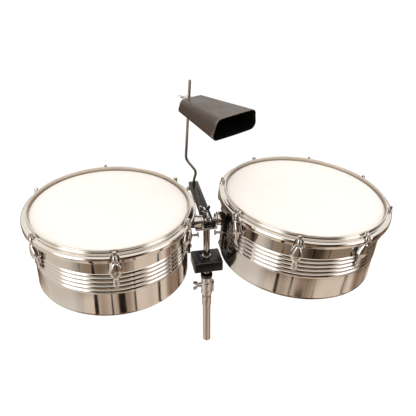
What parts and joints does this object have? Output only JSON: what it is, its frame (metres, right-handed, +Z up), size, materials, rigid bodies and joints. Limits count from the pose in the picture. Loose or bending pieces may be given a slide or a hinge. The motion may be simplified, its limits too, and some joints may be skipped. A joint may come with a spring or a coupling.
{
  "type": "timbales",
  "caption": "Pair of open-bottomed chrome shell drums on a shared tilting bracket and stand tube, with a cowbell on a cranked rod.",
  "frame": {"origin": "centre of the stand tube's lower end face", "axes": "+Z up, +X from the smaller drum to the larger drum, -Y towards the player"},
  "size_m": [0.81, 0.4156, 0.6148],
  "materials": {
    "chrome": "mirror chrome plate on steel",
    "drum_film": "coated white polyester film",
    "black_enamel": "glossy black enamel on cast and pressed steel",
    "bell_enamel": "satin dark grey-brown enamel on steel",
    "black_plastic": "moulded black plastic"
  },
  "bodies": {
    "stand": {"stand_tube": "chrome", "tube_plug": "black_plastic", "tube_sleeve": "chrome", "tube_clamp": "chrome"},
    "clamp_wing": {"clamp_wing_bolt": "chrome"},
    "post": {"post": "chrome"},
    "bracket": {"mount_block": "black_enamel", "upright": "chrome", "top_bracket": "chrome", "left_ratchet_disc": "chrome", "right_ratchet_disc": "chrome", "left_tilt_bolt": "chrome", "right_tilt_bolt": "chrome"},
    "left_drum": {"left_shell": "chrome", "left_hoop": "chrome", "left_head": "drum_film", "left_tilt_plate": "black_enamel", "left_lug_1": "chrome", "left_lug_2": "chrome", "left_lug_3": "chrome", "left_lug_4": "chrome", "left_lug_5": "chrome", "left_lug_6": "chrome"},
    "left_rod_1": {"left_tension_rod_1": "chrome"},
    "left_rod_2": {"left_tension_rod_2": "chrome"},
    "left_rod_3": {"left_tension_rod_3": "chrome"},
    "left_rod_4": {"left_tension_rod_4": "chrome"},
    "left_rod_5": {"left_tension_rod_5": "chrome"},
    "left_rod_6": {"left_tension_rod_6": "chrome"},
    "left_lock": {"left_lock_bolt": "chrome"},
    "right_drum": {"right_shell": "chrome", "right_hoop": "chrome", "right_head": "drum_film", "right_tilt_plate": "black_enamel", "right_lug_1": "chrome", "right_lug_2": "chrome", "right_lug_3": "chrome", "right_lug_4": "chrome", "right_lug_5": "chrome", "right_lug_6": "chrome", "right_lug_7": "chrome", "right_lug_8": "chrome"},
    "right_rod_1": {"right_tension_rod_1": "chrome"},
    "right_rod_2": {"right_tension_rod_2": "chrome"},
    "right_rod_3": {"right_tension_rod_3": "chrome"},
    "right_rod_4": {"right_tension_rod_4": "chrome"},
    "right_rod_5": {"right_tension_rod_5": "chrome"},
    "right_rod_6": {"right_tension_rod_6": "chrome"},
    "right_rod_7": {"right_tension_rod_7": "chrome"},
    "right_rod_8": {"right_tension_rod_8": "chrome"},
    "right_lock": {"right_lock_bolt": "chrome"},
    "arm": {"cowbell_arm": "black_enamel", "rod_holder": "black_enamel"},
    "arm_wing_front": {"arm_wing_bolt_front": "chrome"},
    "arm_wing_rear": {"arm_wing_bolt_rear": "chrome"},
    "rod_lock": {"rod_lock_screw": "chrome"},
    "bell_rod": {"cowbell_rod": "chrome"},
    "bell": {"cowbell": "bell_enamel", "bell_clamp": "chrome"},
    "bell_wing": {"bell_wing_bolt": "chrome"}
  },
  "joints": [
    {"name": "clamp_wing_turn", "type": "hinge", "parent": "stand", "child": "clamp_wing", "pos_m": [-0.0188, 0, 0.1745], "axis": [1, 0, 0], "range_deg": [-180, 180]},
    {"name": "height", "type": "slide", "parent": "stand", "child": "post", "axis": [0, 0, 1], "range_m": [-0.02, 0.08]},
    {"name": "swivel", "type": "hinge", "parent": "post", "child": "bracket", "pos_m": [0, 0, 0.24], "axis": [0, 0, 1], "range_deg": [-180, 180]},
    {"name": "left_tilt", "type": "hinge", "parent": "bracket", "child": "left_drum", "pos_m": [-0.03, 0, 0.3555], "axis": [-0.9998, 0, 0.0192], "range_deg": [-30, 30]},
    {"name": "left_rod_turn_1", "type": "hinge", "parent": "left_drum", "child": "left_rod_1", "pos_m": [-0.20924, -0.17867, 0.40174], "axis": [0.0192, -0.0175, 0.9997], "range_deg": [-180, 180]},
    {"name": "left_rod_turn_2", "type": "hinge", "parent": "left_drum", "child": "left_rod_2", "pos_m": [-0.05518, -0.08974, 0.40033], "axis": [0.0192, -0.0175, 0.9997], "range_deg": [-180, 180]},
    {"name": "left_rod_turn_3", "type": "hinge", "parent": "left_drum", "child": "left_rod_3", "pos_m": [-0.05512, 0.08814, 0.40344], "axis": [0.0192, -0.0175, 0.9997], "range_deg": [-180, 180]},
    {"name": "left_rod_turn_4", "type": "hinge", "parent": "left_drum", "child": "left_rod_4", "pos_m": [-0.20913, 0.17707, 0.40795], "axis": [0.0192, -0.0175, 0.9997], "range_deg": [-180, 180]},
    {"name": "left_rod_turn_5", "type": "hinge", "parent": "left_drum", "child": "left_rod_5", "pos_m": [-0.36319, 0.08814, 0.40935], "axis": [0.0192, -0.0175, 0.9997], "range_deg": [-180, 180]},
    {"name": "left_rod_turn_6", "type": "hinge", "parent": "left_drum", "child": "left_rod_6", "pos_m": [-0.36325, -0.08974, 0.40625], "axis": [0.0192, -0.0175, 0.9997], "range_deg": [-180, 180]},
    {"name": "left_lock_turn", "type": "hinge", "parent": "left_drum", "child": "left_lock", "pos_m": [-0.01961, -0.00845, 0.32364], "axis": [-0.9998, 0, 0.0192], "range_deg": [-180, 180]},
    {"name": "right_tilt", "type": "hinge", "parent": "bracket", "child": "right_drum", "pos_m": [0.03, 0, 0.3555], "axis": [0.9965, 0, -0.0837], "range_deg": [-30, 30]},
    {"name": "right_rod_turn_1", "type": "hinge", "parent": "right_drum", "child": "right_rod_1", "pos_m": [0.1515, -0.17622, 0.38828], "axis": [0.0837, -0.0175, 0.9963], "range_deg": [-180, 180]},
    {"name": "right_rod_turn_2", "type": "hinge", "parent": "right_drum", "child": "right_rod_2", "pos_m": [0.29686, -0.1775, 0.37605], "axis": [0.0837, -0.0175, 0.9963], "range_deg": [-180, 180]},
    {"name": "right_rod_turn_3", "type": "hinge", "parent": "right_drum", "child": "right_rod_3", "pos_m": [0.40069, -0.07526, 0.36912], "axis": [0.0837, -0.0175, 0.9963], "range_deg": [-180, 180]},
    {"name": "right_rod_turn_4", "type": "hinge", "parent": "right_drum", "child": "right_rod_4", "pos_m": [0.40217, 0.07059, 0.37155], "axis": [0.0837, -0.0175, 0.9963], "range_deg": [-180, 180]},
    {"name": "right_rod_turn_5", "type": "hinge", "parent": "right_drum", "child": "right_rod_5", "pos_m": [0.30043, 0.17462, 0.38192], "axis": [0.0837, -0.0175, 0.9963], "range_deg": [-180, 180]},
    {"name": "right_rod_turn_6", "type": "hinge", "parent": "right_drum", "child": "right_rod_6", "pos_m": [0.15507, 0.17589, 0.39415], "axis": [0.0837, -0.0175, 0.9963], "range_deg": [-180, 180]},
    {"name": "right_rod_turn_7", "type": "hinge", "parent": "right_drum", "child": "right_rod_7", "pos_m": [0.05124, 0.07366, 0.40108], "axis": [0.0837, -0.0175, 0.9963], "range_deg": [-180, 180]},
    {"name": "right_rod_turn_8", "type": "hinge", "parent": "right_drum", "child": "right_rod_8", "pos_m": [0.04976, -0.07219, 0.39865], "axis": [0.0837, -0.0175, 0.9963], "range_deg": [-180, 180]},
    {"name": "right_lock_turn", "type": "hinge", "parent": "right_drum", "child": "right_lock", "pos_m": [0.01639, -0.00845, 0.32488], "axis": [0.9965, 0, -0.0837], "range_deg": [-180, 180]},
    {"name": "arm_slide", "type": "slide", "parent": "bracket", "child": "arm", "axis": [0, 1, 0], "range_m": [-0.02, 0]},
    {"name": "arm_wing_front_turn", "type": "hinge", "parent": "bracket", "child": "arm_wing_front", "pos_m": [0.0055, 0.01, 0.348], "axis": [0, 0, 1], "range_deg": [-180, 180]},
    {"name": "arm_wing_rear_turn", "type": "hinge", "parent": "bracket", "child": "arm_wing_rear", "pos_m": [0.0055, 0.049, 0.348], "axis": [0, 0, 1], "range_deg": [-180, 180]},
    {"name": "rod_lock_turn", "type": "hinge", "parent": "arm", "child": "rod_lock", "pos_m": [-0.004, 0.192, 0.3335], "axis": [1, 0, 0], "range_deg": [-180, 180]},
    {"name": "rod_swivel", "type": "hinge", "parent": "arm", "child": "bell_rod", "pos_m": [0.0055, 0.192, 0.3335], "axis": [0, 0, 1], "range_deg": [-180, 180]},
    {"name": "bell_swivel", "type": "hinge", "parent": "bell_rod", "child": "bell", "pos_m": [-0.00286, 0.19473, 0.56604], "axis": [0.0649, -0.015, 0.9978], "range_deg": [-120, 120]},
    {"name": "bell_wing_turn", "type": "hinge", "parent": "bell", "child": "bell_wing", "pos_m": [-0.0099, 0.20498, 0.56726], "axis": [0.5637, -0.8202, -0.0976], "range_deg": [-180, 180]}
  ]
}
